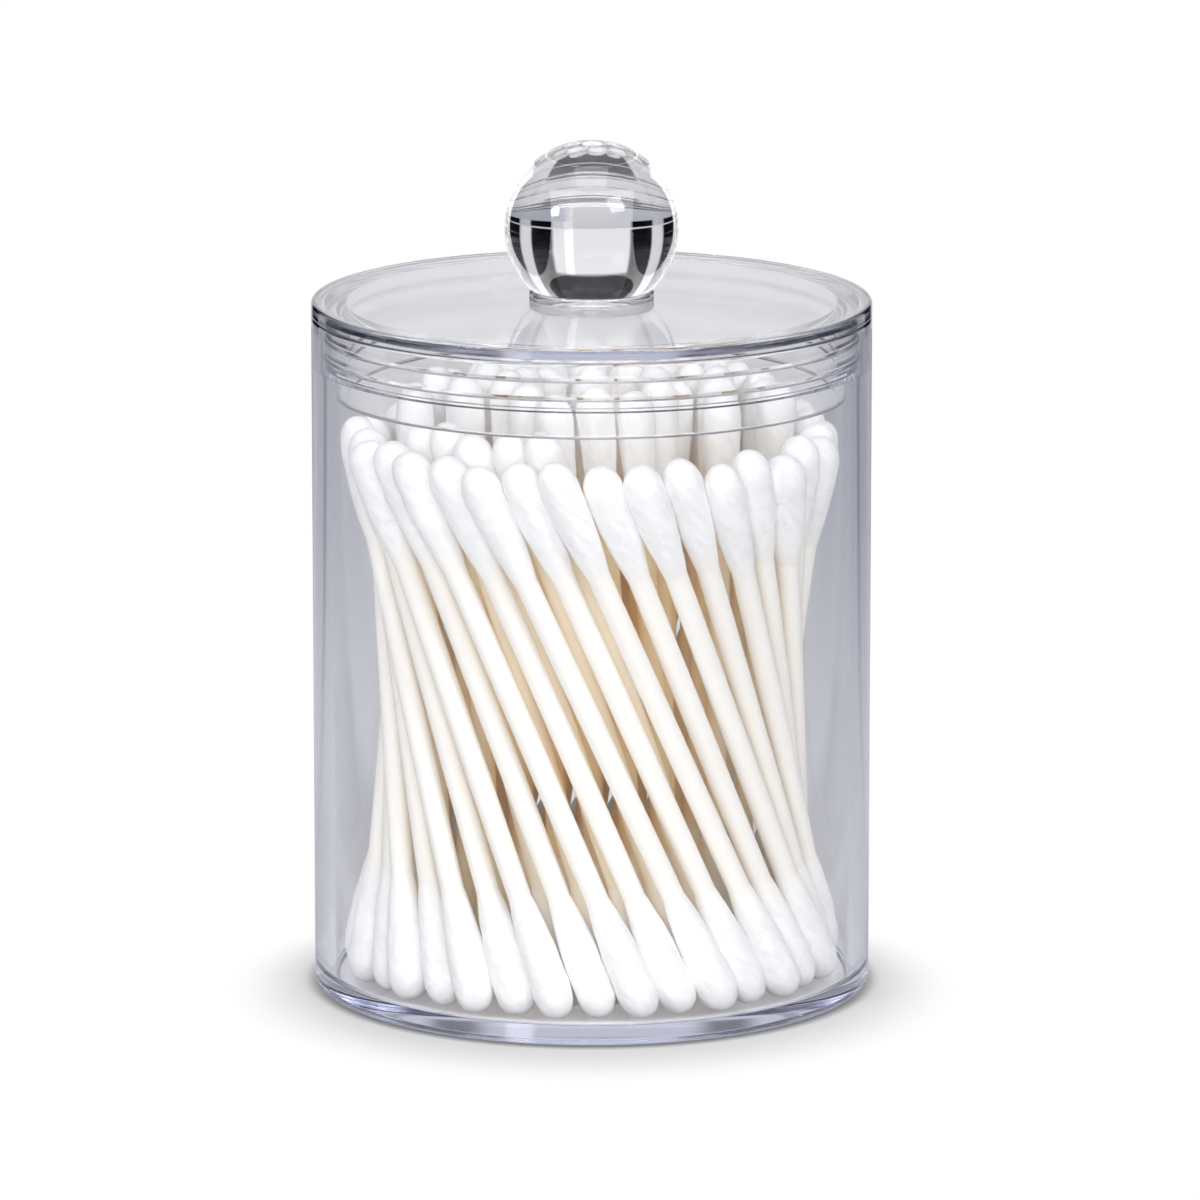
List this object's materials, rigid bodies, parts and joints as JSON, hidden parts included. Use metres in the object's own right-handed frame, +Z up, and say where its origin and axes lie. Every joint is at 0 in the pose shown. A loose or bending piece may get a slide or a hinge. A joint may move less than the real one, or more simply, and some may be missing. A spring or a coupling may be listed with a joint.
{
  "type": "bathroom canister filled with cotton swabs",
  "caption": "Clear cylindrical bathroom jar with a lift-off flat lid and ball knob, holding a twisted bundle of paper-stick cotton swabs.",
  "frame": {"origin": "centre of the surface that the jar stands on", "axes": "+Z up along the jar's axis, the jar being round; the front is -Y"},
  "size_m": [0.07, 0.07, 0.1071],
  "materials": {
    "jar_plastic": "gloss",
    "lid_plastic": "gloss",
    "knob_plastic": "gloss",
    "swab": "matte"
  },
  "bodies": {
    "jar": {"jar": "jar_plastic", "swab_01": "swab", "swab_02": "swab", "swab_03": "swab", "swab_04": "swab", "swab_05": "swab", "swab_06": "swab", "swab_07": "swab", "swab_08": "swab", "swab_09": "swab", "swab_10": "swab", "swab_11": "swab", "swab_12": "swab", "swab_13": "swab", "swab_14": "swab", "swab_15": "swab", "swab_16": "swab", "swab_17": "swab", "swab_18": "swab", "swab_19": "swab", "swab_20": "swab", "swab_21": "swab", "swab_22": "swab", "swab_23": "swab", "swab_24": "swab", "swab_25": "swab", "swab_26": "swab", "swab_27": "swab", "swab_28": "swab", "swab_29": "swab", "swab_30": "swab", "swab_31": "swab", "swab_32": "swab", "swab_33": "swab", "swab_34": "swab", "swab_35": "swab", "swab_36": "swab", "centre_swab": "swab", "lining_swabs_1": "swab", "lining_swabs_2": "swab", "row_2_swabs_1": "swab", "row_2_swabs_2": "swab", "row_2_swabs_3": "swab", "row_2_swabs_4": "swab", "row_3_swabs_1": "swab", "row_3_swabs_2": "swab", "row_3_swabs_3": "swab", "row_4_swabs_1": "swab", "row_4_swabs_2": "swab", "row_4_swabs_3": "swab"},
    "lid": {"lid": "lid_plastic", "knob": "knob_plastic"}
  },
  "joints": [
    {"name": "lid_lift", "type": "slide", "parent": "jar", "child": "lid", "axis": [0, 0, 1], "range_m": [0, 0.06]}
  ]
}
